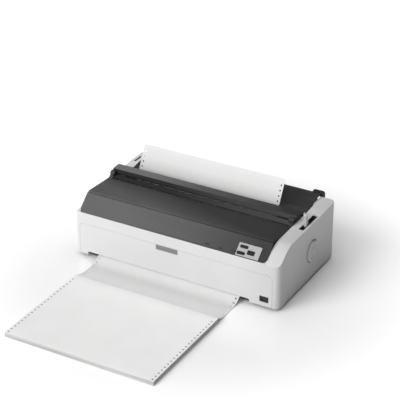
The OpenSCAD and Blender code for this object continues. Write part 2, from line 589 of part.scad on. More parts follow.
// ================= paper =================
rc = platen_r + 0.5;
hin = [cos(wrap_in - 90), sin(wrap_in - 90)];
tang = plat + rc * [cos(wrap_in), sin(wrap_in)];
q = tang - 5 * hin;
bend_r = (q[1] - web_z) / (1 - sin(wrap_in));
bend_c = q + bend_r * [cos(wrap_in), sin(wrap_in)];
off_p = plat + rc * [cos(wrap_out), sin(wrap_out)];
hout = [cos(wrap_out - 90), sin(wrap_out - 90)];
web_front = [[-262, 12.3], [-254, 12.35], [-246, 12.4], [-243.9, 12.3], [-240.6, 9.6], [-236.8, 7.6], [-231, 5.8], [-224, 3.7], [-216, 1.9], [-208, 0.9], [-198, 0.5], [-188, 0.4], [-180, 0.5],
  [-172, 1.2], [-165, 2.9], [-158, 6.2], [-152, 9.9], [-148, 12.5], [-145, 14.1], [-142, 15.0], [-139, 16.1], [-135, 18.8], [-130, 23.2], [-125, 27.6], [-120, 30.3], [-115, web_z]];
web_back = concat(arc(bend_c, bend_r, -90, wrap_in - 180, 14), arc(plat, rc, wrap_in, wrap_out, 8), [off_p + tail_len * hout]);
web_path = concat(web_front, web_back);
px0 = paper_x - paper_w / 2;
px1 = paper_x + paper_w / 2;
module paper_web() color([0.95, 0.95, 0.95]) yz(band(web_path, -web_t / 2, web_t / 2), px0, px1);
module paper_pile() color([0.93, 0.93, 0.93]) bx(px0, px1, -244.6 - form_len, -244.6, 0, pile_h);

guide_path = concat([[-79, web_z]], arc(bend_c, bend_r, -90, 4, 10));
module paper_guide() color(black) {
  yz(band(guide_path, -0.9, -2.3), -226, 168.4);
  // middle support between the tractors, and the lip behind the paper slot
  bx(-60, 20, -116, -78.5, 25.3, 30.1);
  yz([[-141, 8.4], [-141, 12], [-137, 13.2], [-132, 17.5], [-127, 22], [-121.5, 25.6], [-118, 27.4], [-115, 27.8], [-115, 25.3], [-118.6, 24.6], [-124, 19], [-130, 12], [-134.4, 11.2], [-134.4, 8.4]], -60, 20);
  yz([[-141, 8.4], [-141, 12], [-137, 13.2], [-132, 17.5], [-130.4, 18.9], [-129, 17.6], [-134.4, 12], [-134.4, 8.4]], -241, 192.4);
  for (x = [-216, -100, 60, 160]) yz([[-60, 11.5], [-60, 29], [-52, 29], [-40, 16], [-40, 11.5]], x, x + 2);
}

// ================= frames and carriage =================
frame_out = [[-126, 12], [126, 12], [126, 40], [60, 96], [20, 104], [-60, 104], [-126, 60]];
module frame_plate(x) difference() {
  yz(frame_out, x, x + 2);
  cx(plat, 8.9 + run, x - 1, x + 3);
  cx(shaft_c, shaft_r + run, x - 1, x + 3);
  cx(drive_c, 3 + run, x - 1, x + 3);
  cx(guide_c, 3 + run, x - 1, x + 3);
  cx(rel_c, 2 + run, x - 1, x + 3);
  yz([[-30, 20], [20, 20], [20, 44], [-18, 44]], x - 1, x + 3);
  yz([[60, 20], [112, 20], [112, 36], [70, 70]], x - 1, x + 3);
}
module side_frame_left() color(zinc) difference() {
  union() {
    frame_plate(-232);
    bx(-232, -216.5, belt_y - 4, belt_y + 4, 33.6, 35.4);
    cz(belt_xl, belt_y, 2, 34, 48);
    bx(-230.5, -222, 60, 120, 13.3, 14.9);
    // support pads of the ribbon cartridge
    bx(-230.5, -223, -84, -70, 70, 72.6);
  }
}
module side_frame_right() color(zinc) difference() {
  union() {
    frame_plate(204);
    // bracket of the paper feed motor
    bx(224.6, 226, motor_c[0] - 15, motor_c[0] + 16, 12, motor_c[1] + 15);
    bx(205.5, 226, motor_c[0] - 15, motor_c[0] + 16, 12, 13.5);
    bx(205.5, 226, motor_c[0] + 14.4, motor_c[0] + 16, 12, motor_c[1] + 15);
    bx(198, 204.5, -84, -70, 70, 72.6);
    // pivot of the release lever
    bx(205.5, 243.4, 50, 54, 90, 92);
    bx(241.4, 243.4, 40, 56, 82, 104);
    cx(lever_c, 5, 243, 251.8);
    cx(lever_c, 3, 251, 259.6);
  }
  cx(motor_c, 5, 223, 228);
  cx(plat, 8.2, 223, 228);
}
module chassis() color(zinc) difference() {
  union() {
    bx(-229.7, 203.7, 66, 140.2, 11.6, 13.1);
    bx(-229.7, 203.7, -34, 66, 11.6, 13.1);
    bx(168, 203.7, -80, -33, 11.6, 13.1);
    bx(-229.7, 203.7, 138.7, 140.2, 12, 16.8);
    bx(-229.7, 203.7, 50, 51.6, 12, 30);
  }
  for (i = [0:5]) translate([-190 + 66 * i, 20, 10]) cylinder(r = 10, h = 5);
}
module carriage_shaft() color(steel) {
  cx(shaft_c, shaft_r, -240, 208.4);
  // paper thickness lever on the left end
  color([0.3, 0.45, 0.62]) difference() {
    union() {
      cx(shaft_c, 9, -239, -235);
      yz([shaft_c + [-5, 4], shaft_c + [-20, 62], shaft_c + [-12, 64], shaft_c + [5, 6]], -239, -235);
      yz([shaft_c + [-18.4, 54], shaft_c + [-20.4, 63], shaft_c + [-11.6, 65], shaft_c + [-9.4, 56]], -248, -235);
    }
    cx(shaft_c, shaft_r - 0.02, -242, -233);
  }
}
module carriage_rail() color(zinc) {
  bx(-229.9, 203.9, -84, -82.4, 40, 58);
  bx(-229.9, 203.9, -84, -74, 56.4, 58);
}
module carriage() color([0.17, 0.17, 0.18]) translate([car_x, 0, 0]) difference() {
  union() {
    bx(-24, 24, -56, -34, 48.5, 64);
    bx(-10, 10, -72, -55, 59.4, 63);
    bx(-8, 8, -79, -69, 53, 63);
    bx(-20, 20, -35, -12.4, 57.5, 65.8);
    for (x = [-20, 17]) bx(x, x + 3, -33, -14, 65, 72);
    bx(-12, 12, -50.2, -47.7, 39, 49);
  }
  cx(shaft_c, shaft_r + run, -30, 30);
  bx(-9, 9, -80, -73.6, 56, 58.4);
  bx(-14, 14, -53, -37, 60.4, 66);
}
module print_head() color([0.24, 0.24, 0.25]) translate([car_x, 0, 0]) {
  difference() {
    bx(-15, 15, -34, -10, 66.1, 90);
    for (s = [-1, 1]) bx(min(s * 13, s * 16), max(s * 13, s * 16), -30, -14, 70, 86);
  }
  for (i = [0:8]) bx(-14.6 + 3.5 * i, -13.4 + 3.5 * i, -34, -15, 89, 98);
  yz([[-11, 73.6], [-3.2, 74.6], [-3.2, 82.4], [-11, 86]], -8, 8);
  bx(-3.4, 3.4, -4, -0.05, 75.4, 81);
}
module ribbon_mask() color([0.70, 0.71, 0.72]) translate([car_x, 0, 0]) {
  difference() {
    yz(concat(arc(plat, 20.1, 187, 150, 8), arc(plat, 20.5, 150, 187, 8)), -20, 20);
    bx(-5, 5, -3, 4, 75.8, 80.4);
  }
  yz([plat + 20.1 * [cos(150.8), sin(150.8)], plat + 20.1 * [cos(150), sin(150)], [3.4, 91.2], [-13.6, 91.2], [-13.6, 90.3], [2.6, 90.3], plat + 20.5 * [cos(150.8), sin(150.8)]], -14, 14);
}
module timing_belt() color([0.1, 0.1, 0.1]) translate([0, 0, 40.5]) linear_extrude(5) difference() {
  polygon(loop2([belt_xl, belt_y], 8.9, [belt_xr, belt_y], 8.9));
  polygon(loop2([belt_xl, belt_y], 7.9, [belt_xr, belt_y], 7.9));
}
module pulley(x) difference() {
  union() {
    cz(x, belt_y, 7.4, 38.6, 47);
    cz(x, belt_y, 9.4, 38.6, 40);
    cz(x, belt_y, 9.4, 46, 47);
  }
  for (i = [0:15]) translate([x, belt_y, 0]) rotate([0, 0, 22.5 * i]) translate([7.7, 0, 40]) cylinder(r = 0.7, h = 6);
  cz(x, belt_y, 2 + run, 30, 50);
}
module drive_pulley() color([0.75, 0.72, 0.62]) { pulley(belt_xr); cz(belt_xr, belt_y, 2.1, 28, 46.6); }
module idler_pulley() color([0.85, 0.85, 0.80]) pulley(belt_xl);
module carriage_motor() color(zinc) difference() {
  union() {
    translate([belt_xr, belt_y, 13.3]) linear_extrude(2.4) rr(-15.6, 15.6, -15.6, 15.6, 4);
    cz(belt_xr, belt_y, 15, 15, 35);
    translate([belt_xr, belt_y, 34]) linear_extrude(2.4) rr(-15.6, 15.6, -15.6, 15.6, 4);
  }
  cz(belt_xr, belt_y, 2.1 + run, 26, 40);
}
module ribbon_cartridge() color([0.14, 0.14, 0.15]) difference() {
  union() {
    translate([0, 0, 76]) linear_extrude(22) rr(-208, 183, -98, -54, 6);
    for (x = [-222, 185]) bx(x, x + 12, -88, 0.3, 73, 85);
    bx(-216, -200, -88, -60, 78, 85);
    bx(176, 192, -88, -60, 78, 85);
  }
  // the arms are open channels for the ribbon
  for (x = [-220.4, 186.6]) bx(x, x + 8.8, -86, 2, 74.6, 83.6);
  cz(150, -76, 3 + run, 84, 100);
  for (x = [-150, -50, 50]) translate([x, -76, 96.8]) cylinder(r = 16, h = 2);
}
module ribbon_knob() color([0.25, 0.45, 0.6]) difference() {
  union() {
    cz(150, -76, 9, 98.4, 105);
    cz(150, -76, 3, 86, 99);
  }
  for (i = [0:11]) translate([150, -76, 0]) rotate([0, 0, 30 * i]) translate([9.6, 0, 97]) cylinder(r = 1.5, h = 9);
}
module ribbon_band() color([0.08, 0.08, 0.08]) {
  bx(-216, 191, 0.3, 0.6, 74.9, 83.3);
}

// ================= electrics =================
module main_board() color([0.13, 0.36, 0.22]) {
  difference() {
    bx(-214, -50, 66, 139, 17.6, 19.2);
    for (p = [[-209, 71], [-55, 71], [-209, 118], [-55, 118]]) cz(p[0], p[1], 2, 16, 21);
  }
  color([0.2, 0.2, 0.2]) { bx(-180, -156, 84, 108, 19.1, 22); bx(-140, -118, 80, 92, 19.1, 22); bx(-110, -88, 80, 92, 19.1, 22); bx(-205, -190, 75, 110, 19.1, 28); }
  color([0.75, 0.75, 0.76]) for (p = [[-75, 84], [-75, 98], [-98, 104]]) cz(p[0], p[1], 5, 19.1, 31);
  // parallel port with its clips, and the serial bus port
  color([0.72, 0.72, 0.72]) difference() {
    union() { bx(-130.4, -61.6, 128, 148.4, 20.8, 35.8); bx(-156.4, -141.6, 128, 147.2, 20.8, 33); bx(-156.4, -61.6, 128, 136, 18.6, 22); }
    bx(-124, -68, 140, 150, 23.4, 33.2);
    bx(-154, -144, 136, 150, 22.8, 31);
  }
  color([0.15, 0.15, 0.15]) bx(-120, -72, 138, 146, 26.6, 29.8);
}
module power_supply() color([0.62, 0.63, 0.62]) {
  difference() {
    bx(-36, 98, 68, 136, 15, 58);
    bx(-34.6, 96.6, 69.4, 134.6, 14, 56.6);
    for (i = [0:9]) bx(-28 + 12 * i, -22 + 12 * i, 80, 124, 55, 60);
  }
  color([0.6, 0.5, 0.3]) bx(-34.6, 96.6, 69.4, 134.6, 17, 18.6);
  color([0.2, 0.2, 0.2]) { bx(-10, 34, 82, 118, 18.5, 46); cz(60, 100, 14, 18.5, 48); }
}
module ac_inlet() color([0.1, 0.1, 0.1]) {
  difference() {
    union() { bx(110, 140, 122, hd + 0.8, 22, 48); bx(107, 143, hd + 0.1, hd + 1.6, 21, 49); }
    translate([0, hd + 3, 0]) rotate([90, 0, 0]) linear_extrude(19) polygon([[113, 25], [137, 25], [137, 40], [131, 45.4], [119, 45.4], [113, 40]]);
  }
  color(steel) { bx(124, 126, 130, hd - 1, 38.4, 42.4); bx(117.4, 119.4, 130, hd - 1, 30, 34); bx(130.6, 132.6, 130, hd - 1, 30, 34); }
}
module rubber_feet() color([0.15, 0.15, 0.15]) for (x = [-225, 225], y = [-112, 118]) translate([x, y, 0]) {
  rotate_extrude() polygon([[0, 0], [9, 0], [10, 1], [10, floor_z], [3, floor_z], [3, floor_z + 2.4], [0, floor_z + 2.4]]);
}
module case_screws() color(steel) screw_at() difference() {
  union() { translate([0, 0, 10]) cylinder(r = 4, h = 3); translate([0, 0, 12.5]) cylinder(r = 1.9, h = 18); }
  translate([0, 0, 9]) bx(-0.6, 0.6, -3, 3, 0, 2.2);
  translate([0, 0, 9]) bx(-3, 3, -0.6, 0.6, 0, 2.2);
}

lower_case();
upper_case();
front_cover();
label_plate();
control_panel();
button_plate();
button_upper();
button_lower();
button_right();
lamp_lenses();
panel_board();
printer_cover();
rear_cover();
sheet_guide();
edge_guide_left();
edge_guide_right();
release_lever();
release_frame();
pinch_rollers();
switch_housing();
power_rocker();
platen();
platen_shaft();
platen_gear();
platen_knob();
platen_bushes();
feed_motor();
motor_pinion();
tractor_belt();
tractor_drive_shaft();
tractor_guide_shaft();
tractor_left();
tractor_right();
tractor_lid_left();
tractor_lid_right();
sprocket_left();
sprocket_right();
paper_guide();
side_frame_left();
side_frame_right();
chassis();
carriage_shaft();
carriage_rail();
carriage();
print_head();
ribbon_mask();
timing_belt();
drive_pulley();
idler_pulley();
carriage_motor();
ribbon_cartridge();
ribbon_knob();
ribbon_band();
main_board();
power_supply();
ac_inlet();
rubber_feet();
case_screws();
paper_web();
paper_pile();
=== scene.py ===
import json
import math
import random

import bpy
import bmesh
import numpy as np
from mathutils import Vector, Matrix


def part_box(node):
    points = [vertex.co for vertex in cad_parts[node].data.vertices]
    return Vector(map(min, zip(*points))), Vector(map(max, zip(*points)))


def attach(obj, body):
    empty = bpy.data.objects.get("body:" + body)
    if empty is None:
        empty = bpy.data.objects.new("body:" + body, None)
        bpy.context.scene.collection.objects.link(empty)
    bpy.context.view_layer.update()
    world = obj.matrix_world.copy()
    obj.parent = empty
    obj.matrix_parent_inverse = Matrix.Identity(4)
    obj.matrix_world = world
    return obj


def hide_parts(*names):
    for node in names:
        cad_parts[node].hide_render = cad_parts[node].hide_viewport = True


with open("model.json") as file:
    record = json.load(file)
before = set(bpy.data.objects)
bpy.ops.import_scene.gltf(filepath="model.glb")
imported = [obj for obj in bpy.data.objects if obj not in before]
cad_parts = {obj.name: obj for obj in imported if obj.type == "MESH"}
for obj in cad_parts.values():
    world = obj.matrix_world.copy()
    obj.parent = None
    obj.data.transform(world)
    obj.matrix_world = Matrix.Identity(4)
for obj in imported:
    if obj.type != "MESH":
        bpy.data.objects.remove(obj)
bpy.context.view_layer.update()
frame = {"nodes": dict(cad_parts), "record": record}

N = frame["nodes"]
scene = bpy.context.scene
rnd = random.Random(7)

# ---------------------------------------------------------------- camera
cam_data = bpy.data.cameras.new("camera")
cam = bpy.data.objects.new("camera", cam_data)
scene.collection.objects.link(cam)
cam_data.sensor_width = 36.0
cam_data.lens = 134.28
cam_data.clip_end = 60.0
AZ, EL = math.radians(29.5), math.radians(28.17)
back = Vector((math.sin(AZ) * math.cos(EL), -math.cos(AZ) * math.cos(EL), math.sin(EL)))
cam.location = (1.511, -2.700, 1.808)
cam.rotation_euler = (-back).to_track_quat("-Z", "Y").to_euler()
scene.camera = cam
scene.view_settings.view_transform = "Standard"

# ---------------------------------------------------------------- lights
world = bpy.data.worlds.new("world")
scene.world = world
world.use_nodes = True
bg = world.node_tree.nodes["Background"]
bg.inputs["Color"].default_value = (1.0, 1.0, 1.0, 1.0)
bg.inputs["Strength"].default_value = 0.01


def sun(name, direction, strength, angle):
    d = bpy.data.lights.new(name, "SUN")
    d.energy = strength
    d.angle = math.radians(angle)
    o = bpy.data.objects.new(name, d)
    scene.collection.objects.link(o)
    o.rotation_euler = Vector(direction).to_track_quat("Z", "Y").to_euler()
    return o


sun("front", (-0.15, -0.90, 0.40), 1.78, 60)
sun("key", (-0.45, -0.70, 0.60), 1.20, 35)
sun("top", (-0.10, 0.10, 1.0), 1.50, 70)


# ---------------------------------------------------------------- materials
def tree(name):
    m = bpy.data.materials.new(name)
    m.use_nodes = True
    nt = m.node_tree
    return m, nt, nt.nodes, nt.links, nt.nodes["Principled BSDF"]


def sh(c, k):
    return tuple(max(0.0, min(1.0, v * k)) for v in c[:3]) + (1.0,)


def shade(nodes, links, tc, along, stops):
    """A grey factor for painted light and shade that changes smoothly with the distance along one direction."""
    dot = nodes.new("ShaderNodeVectorMath"); dot.operation = "DOT_PRODUCT"
    links.new(tc.outputs["Object"], dot.inputs[0])
    dot.inputs[1].default_value = along
    a, b = stops[0][0], stops[-1][0]
    mr = nodes.new("ShaderNodeMapRange")
    mr.inputs["From Min"].default_value = a; mr.inputs["From Max"].default_value = b
    links.new(dot.outputs["Value"], mr.inputs["Value"])
    cr = nodes.new("ShaderNodeValToRGB")
    ramp = cr.color_ramp
    while len(ramp.elements) > 1:
        ramp.elements.remove(ramp.elements[-1])
    ramp.elements[0].position = 0.0
    ramp.elements[0].color = (stops[0][1],) * 3 + (1.0,)
    for v, k in stops[1:]:
        e = ramp.elements.new((v - a) / (b - a))
        e.color = (k, k, k, 1.0)
    links.new(mr.outputs["Result"], cr.inputs["Fac"])
    return cr.outputs["Color"]


def moulded(name, base, rough, grain=900.0, bump=0.12, spec=0.5, vary=0.05, coat=0.0, wear=0.0, depth=0.00006, painted_light=()):
    """Moulded plastic: fine grain in the bump, slow colour and gloss variation, lighter worn edges.
    The last argument is a list of ((x, y, z), ((metres, factor), ...)): painted light and shade, a smooth lightening or
    darkening of the colour along that direction of the object that stands in for sheen and shadow."""
    m, nt, nodes, links, p = tree(name)
    p.inputs["Specular IOR Level"].default_value = spec
    p.inputs["Coat Weight"].default_value = coat
    tc = nodes.new("ShaderNodeTexCoord")
    slow = nodes.new("ShaderNodeTexNoise"); slow.inputs["Scale"].default_value = 9.0; slow.inputs["Detail"].default_value = 4.0
    links.new(tc.outputs["Object"], slow.inputs["Vector"])
    ramp = nodes.new("ShaderNodeValToRGB")
    ramp.color_ramp.elements[0].position = 0.3; ramp.color_ramp.elements[1].position = 0.7
    ramp.color_ramp.elements[0].color = sh(base, 1 - vary); ramp.color_ramp.elements[1].color = sh(base, 1 + vary * 0.6)
    links.new(slow.outputs["Fac"], ramp.inputs["Fac"])
    colour = ramp.outputs["Color"]
    if wear:
        geo = nodes.new("ShaderNodeNewGeometry")
        wr = nodes.new("ShaderNodeMapRange")
        wr.inputs["From Min"].default_value = 0.53; wr.inputs["From Max"].default_value = 0.62
        wr.inputs["To Min"].default_value = 0.0; wr.inputs["To Max"].default_value = wear
        links.new(geo.outputs["Pointiness"], wr.inputs["Value"])
        mix = nodes.new("ShaderNodeMix"); mix.data_type = "RGBA"
        mix.inputs["B"].default_value = sh([min(1.0, c * 1.6 + 0.05) for c in base], 1.0)
        links.new(wr.outputs["Result"], mix.inputs["Factor"])
        links.new(colour, mix.inputs["A"])
        colour = mix.outputs["Result"]
    # painted light and shade: the colour is multiplied by each ramp along its direction
    for along, stops in painted_light:
        tm = nodes.new("ShaderNodeMix"); tm.data_type = "RGBA"; tm.blend_type = "MULTIPLY"
        tm.inputs["Factor"].default_value = 1.0
        links.new(colour, tm.inputs["A"]); links.new(shade(nodes, links, tc, along, stops), tm.inputs["B"])
        colour = tm.outputs["Result"]
    links.new(colour, p.inputs["Base Color"])
    fine = nodes.new("ShaderNodeTexNoise"); fine.inputs["Scale"].default_value = grain; fine.inputs["Detail"].default_value = 3.0
    links.new(tc.outputs["Object"], fine.inputs["Vector"])
    rr = nodes.new("ShaderNodeMapRange")
    rr.inputs["From Min"].default_value = 0.25; rr.inputs["From Max"].default_value = 0.75
    rr.inputs["To Min"].default_value = max(0.02, rough - 0.06); rr.inputs["To Max"].default_value = min(1.0, rough + 0.06)
    links.new(slow.outputs["Fac"], rr.inputs["Value"])
    links.new(rr.outputs["Result"], p.inputs["Roughness"])
    b = nodes.new("ShaderNodeBump"); b.inputs["Strength"].default_value = bump; b.inputs["Distance"].default_value = depth
    links.new(fine.outputs["Fac"], b.inputs["Height"])
    links.new(b.outputs["Normal"], p.inputs["Normal"])
    return m


def metal(name, base, rough, axis="X", brush=0.25, scale=300.0):
    """Drawn or ground metal: fine lines along one axis, slight tarnish."""
    m, nt, nodes, links, p = tree(name)
    p.inputs["Metallic"].default_value = 1.0
    tc = nodes.new("ShaderNodeTexCoord")
    mp = nodes.new("ShaderNodeMapping")
    st = {"X": (4.0, scale, scale), "Y": (scale, 4.0, scale), "Z": (scale, scale, 4.0)}[axis]
    mp.inputs["Scale"].default_value = st
    links.new(tc.outputs["Object"], mp.inputs["Vector"])
    lines = nodes.new("ShaderNodeTexNoise"); lines.inputs["Scale"].default_value = 1.0; lines.inputs["Detail"].default_value = 5.0
    links.new(mp.outputs["Vector"], lines.inputs["Vector"])
    slow = nodes.new("ShaderNodeTexNoise"); slow.inputs["Scale"].default_value = 24.0; slow.inputs["Detail"].default_value = 4.0
    links.new(tc.outputs["Object"], slow.inputs["Vector"])
    ramp = nodes.new("ShaderNodeValToRGB")
    ramp.color_ramp.elements[0].position = 0.32; ramp.color_ramp.elements[1].position = 0.68
    ramp.color_ramp.elements[0].color = sh(base, 0.82); ramp.color_ramp.elements[1].color = sh(base, 1.06)
    links.new(slow.outputs["Fac"], ramp.inputs["Fac"])
    links.new(ramp.outputs["Color"], p.inputs["Base Color"])
    rr = nodes.new("ShaderNodeMapRange")
    rr.inputs["To Min"].default_value = max(0.03, rough - 0.1); rr.inputs["To Max"].default_value = rough + 0.12
    links.new(lines.outputs["Fac"], rr.inputs["Value"])
    links.new(rr.outputs["Result"], p.inputs["Roughness"])
    b = nodes.new("ShaderNodeBump"); b.inputs["Strength"].default_value = brush; b.inputs["Distance"].default_value = 0.00004
    links.new(lines.outputs["Fac"], b.inputs["Height"])
    links.new(b.outputs["Normal"], p.inputs["Normal"])
    return m


def paper_mat(name, base, layered=False, painted_light=()):
    """Uncoated paper: fibres, faint mottling; layered adds the lines of a stack's edge; the last argument multiplies in
    painted shade along given directions.
    """
    m, nt, nodes, links, p = tree(name)
    p.inputs["Roughness"].default_value = 0.85
    p.inputs["Specular IOR Level"].default_value = 0.2
    tc = nodes.new("ShaderNodeTexCoord")
    slow = nodes.new("ShaderNodeTexNoise"); slow.inputs["Scale"].default_value = 14.0; slow.inputs["Detail"].default_value = 6.0
    links.new(tc.outputs["Object"], slow.inputs["Vector"])
    ramp = nodes.new("ShaderNodeValToRGB")
    ramp.color_ramp.elements[0].position = 0.3; ramp.color_ramp.elements[1].position = 0.7
    ramp.color_ramp.elements[0].color = sh(base, 0.975); ramp.color_ramp.elements[1].color = sh(base, 1.01)
    links.new(slow.outputs["Fac"], ramp.inputs["Fac"])
    colour = ramp.outputs["Color"]
    fib = nodes.new("ShaderNodeTexNoise"); fib.inputs["Scale"].default_value = 1400.0; fib.inputs["Detail"].default_value = 4.0
    links.new(tc.outputs["Object"], fib.inputs["Vector"])
    height = fib.outputs["Fac"]
    if layered:
        sep = nodes.new("ShaderNodeSeparateXYZ"); links.new(tc.outputs["Object"], sep.inputs["Vector"])
        mp = nodes.new("ShaderNodeMapping"); mp.inputs["Scale"].default_value = (3.0, 3.0, 2600.0)
        links.new(tc.outputs["Object"], mp.inputs["Vector"])
        lay = nodes.new("ShaderNodeTexNoise"); lay.inputs["Scale"].default_value = 1.0; lay.inputs["Detail"].default_value = 2.0
        links.new(mp.outputs["Vector"], lay.inputs["Vector"])
        lr = nodes.new("ShaderNodeValToRGB")
        lr.color_ramp.elements[0].position = 0.38; lr.color_ramp.elements[1].position = 0.6
        lr.color_ramp.elements[0].color = (0.62, 0.62, 0.62, 1); lr.color_ramp.elements[1].color = (1, 1, 1, 1)
        links.new(lay.outputs["Fac"], lr.inputs["Fac"])
        mul = nodes.new("ShaderNodeMix"); mul.data_type = "RGBA"; mul.blend_type = "MULTIPLY"; mul.inputs["Factor"].default_value = 1.0
        links.new(colour, mul.inputs["A"]); links.new(lr.outputs["Color"], mul.inputs["B"])
        colour = mul.outputs["Result"]
        height = lay.outputs["Fac"]
    # painted shade: the colour is multiplied by each ramp along its direction
    for along, stops in painted_light:
        tm = nodes.new("ShaderNodeMix"); tm.data_type = "RGBA"; tm.blend_type = "MULTIPLY"
        tm.inputs["Factor"].default_value = 1.0
        links.new(colour, tm.inputs["A"]); links.new(shade(nodes, links, tc, along, stops), tm.inputs["B"])
        colour = tm.outputs["Result"]
    links.new(colour, p.inputs["Base Color"])
    b = nodes.new("ShaderNodeBump"); b.inputs["Strength"].default_value = 0.15; b.inputs["Distance"].default_value = 0.00005
    links.new(height, b.inputs["Height"])
    links.new(b.outputs["Normal"], p.inputs["Normal"])
    return m


def board_mat(name):
    """Circuit board: solder mask with fine copper tracks under it."""
    m, nt, nodes, links, p = tree(name)
    p.inputs["Roughness"].default_value = 0.35
    tc = nodes.new("ShaderNodeTexCoord")
    br = nodes.new("ShaderNodeTexBrick")
    br.inputs["Scale"].default_value = 60.0
    br.inputs["Mortar Size"].default_value = 0.06
    br.inputs["Color1"].default_value = (0.015, 0.085, 0.035, 1); br.inputs["Color2"].default_value = (0.012, 0.07, 0.03, 1)
    br.inputs["Mortar"].default_value = (0.03, 0.16, 0.06, 1)
    links.new(tc.outputs["Object"], br.inputs["Vector"])
    links.new(br.outputs["Color"], p.inputs["Base Color"])
    b = nodes.new("ShaderNodeBump"); b.inputs["Strength"].default_value = 0.3; b.inputs["Distance"].default_value = 0.00005
    links.new(br.outputs["Fac"], b.inputs["Height"])
    links.new(b.outputs["Normal"], p.inputs["Normal"])
    return m


def weave_mat(name, base):
    """Inked ribbon cloth: a fine plain weave."""
    m, nt, nodes, links, p = tree(name)
    p.inputs["Roughness"].default_value = 0.75
    tc = nodes.new("ShaderNodeTexCoord")
    w1 = nodes.new("ShaderNodeTexWave"); w1.bands_direction = "X"; w1.inputs["Scale"].default_value = 900.0
    w2 = nodes.new("ShaderNodeTexWave"); w2.bands_direction = "Z"; w2.inputs["Scale"].default_value = 900.0
    for w in (w1, w2):
        links.new(tc.outputs["Object"], w.inputs["Vector"])
    mx = nodes.new("ShaderNodeMath"); mx.operation = "MAXIMUM"
    links.new(w1.outputs["Fac"], mx.inputs[0]); links.new(w2.outputs["Fac"], mx.inputs[1])
    ramp = nodes.new("ShaderNodeValToRGB")
    ramp.color_ramp.elements[0].color = sh(base, 0.6); ramp.color_ramp.elements[1].color = sh(base, 1.3)
    links.new(mx.outputs["Value"], ramp.inputs["Fac"])
    links.new(ramp.outputs["Color"], p.inputs["Base Color"])
    b = nodes.new("ShaderNodeBump"); b.inputs["Strength"].default_value = 0.3; b.inputs["Distance"].default_value = 0.0001
    links.new(mx.outputs["Value"], b.inputs["Height"])
    links.new(b.outputs["Normal"], p.inputs["Normal"])
    return m


def rear_mat(name, base):
    """The smoked cover behind the hinge, with painted reflections: its front slope is painted lighter towards +x and
    its top lighter towards -x, switching from one to the other near y = 9 mm.
    """
    m, nt, nodes, links, p = tree(name)
    p.inputs["Specular IOR Level"].default_value = 0.16
    tc = nodes.new("ShaderNodeTexCoord")
    # painted reflection on the front slope: dark at -x, lighter towards +x
    slope_painted_sheen = shade(nodes, links, tc, (1, 0, 0), ((-0.10, 0.052), (0.08, 0.185), (0.23, 0.23)))
    # painted reflection on the top: light at -x, darker towards +x
    top = shade(nodes, links, tc, (1, 0, 0), ((-0.25, 0.97), (0.0, 0.39), (0.15, 0.19)))
    # which painted ramp shows: the slope's below y = 8 mm, the top's above y = 9.8 mm
    step = shade(nodes, links, tc, (0, 1, 0), ((0.0080, 0.0), (0.0098, 1.0), (0.0100, 1.0)))
    mix = nodes.new("ShaderNodeMix"); mix.data_type = "RGBA"
    links.new(step, mix.inputs["Factor"]); links.new(slope_painted_sheen, mix.inputs["A"]); links.new(top, mix.inputs["B"])
    slow = nodes.new("ShaderNodeTexNoise"); slow.inputs["Scale"].default_value = 9.0; slow.inputs["Detail"].default_value = 4.0
    links.new(tc.outputs["Object"], slow.inputs["Vector"])
    ramp = nodes.new("ShaderNodeValToRGB")
    ramp.color_ramp.elements[0].position = 0.3; ramp.color_ramp.elements[1].position = 0.7
    ramp.color_ramp.elements[0].color = sh(base, 0.95); ramp.color_ramp.elements[1].color = sh(base, 1.04)
    links.new(slow.outputs["Fac"], ramp.inputs["Fac"])
    mul = nodes.new("ShaderNodeMix"); mul.data_type = "RGBA"; mul.blend_type = "MULTIPLY"; mul.inputs["Factor"].default_value = 1.0
    links.new(ramp.outputs["Color"], mul.inputs["A"]); links.new(mix.outputs["Result"], mul.inputs["B"])
    links.new(mul.outputs["Result"], p.inputs["Base Color"])
    rr = nodes.new("ShaderNodeMapRange")
    rr.inputs["To Min"].default_value = 0.46; rr.inputs["To Max"].default_value = 0.56
    links.new(slow.outputs["Fac"], rr.inputs["Value"])
    links.new(rr.outputs["Result"], p.inputs["Roughness"])
    fine = nodes.new("ShaderNodeTexNoise"); fine.inputs["Scale"].default_value = 700.0; fine.inputs["Detail"].default_value = 3.0
    links.new(tc.outputs["Object"], fine.inputs["Vector"])
    b = nodes.new("ShaderNodeBump"); b.inputs["Strength"].default_value = 0.05; b.inputs["Distance"].default_value = 0.00006
    links.new(fine.outputs["Fac"], b.inputs["Height"])
    links.new(b.outputs["Normal"], p.inputs["Normal"])
    return m


